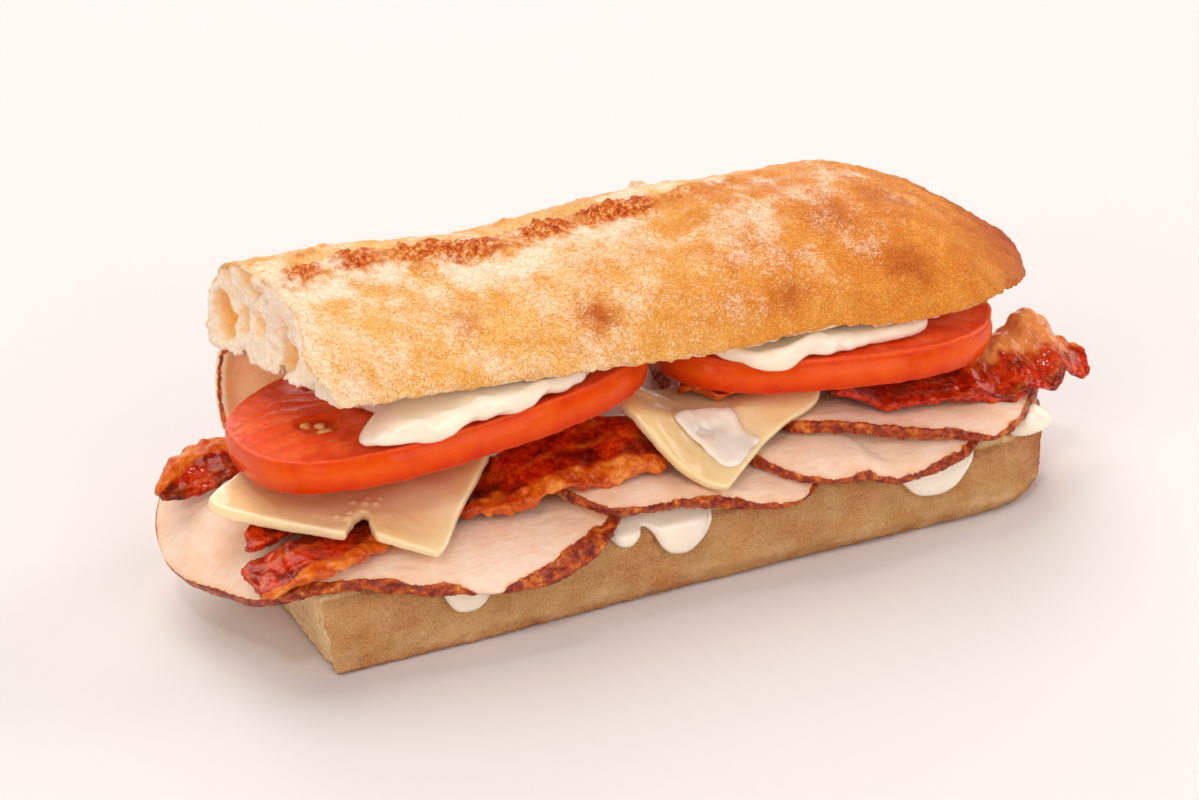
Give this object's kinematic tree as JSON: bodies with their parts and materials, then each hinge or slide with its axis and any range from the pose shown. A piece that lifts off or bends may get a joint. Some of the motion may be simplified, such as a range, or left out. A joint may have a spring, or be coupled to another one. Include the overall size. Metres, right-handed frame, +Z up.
{
  "type": "club sandwich",
  "caption": "Cut half of a crusty baguette club sandwich filled with sliced turkey, bacon, cheese, tomato and mayonnaise, lying on its flat base.",
  "frame": {"origin": "middle of the bottom of the box that holds the sandwich, on the surface it rests on", "axes": "+Z up, +X along the loaf from its cut end to its rounded end, -Y towards the front, where most of the filling shows"},
  "size_m": [0.1802, 0.068, 0.0629],
  "materials": {
    "bread": "baked golden crust, floured, with an open pale crumb at the cut",
    "mayonnaise": "glossy cream",
    "turkey": "moist pale meat with a browned, peppered rim",
    "bacon": "crisp and greasy, dark lean with amber fat",
    "cheese": "smooth, slightly translucent",
    "tomato": "wet flesh with a glossy peel"
  },
  "bodies": {
    "root": {"bread_bottom": "bread", "bread_top": "bread", "mayo_base": "mayonnaise", "mayo_upper_left": "mayonnaise", "mayo_upper_right": "mayonnaise", "turkey_left": "turkey", "turkey_middle": "turkey", "turkey_right_lower": "turkey", "turkey_right_upper": "turkey", "turkey_back_fold": "turkey", "bacon_front_left": "bacon", "bacon_front_left_under": "bacon", "bacon_back_left": "bacon", "bacon_middle": "bacon", "bacon_inner": "bacon", "bacon_right": "bacon", "bacon_back_right": "bacon", "cheese_left": "cheese", "cheese_right": "cheese", "tomato_left": "tomato", "tomato_right": "tomato"}
  },
  "joints": []
}
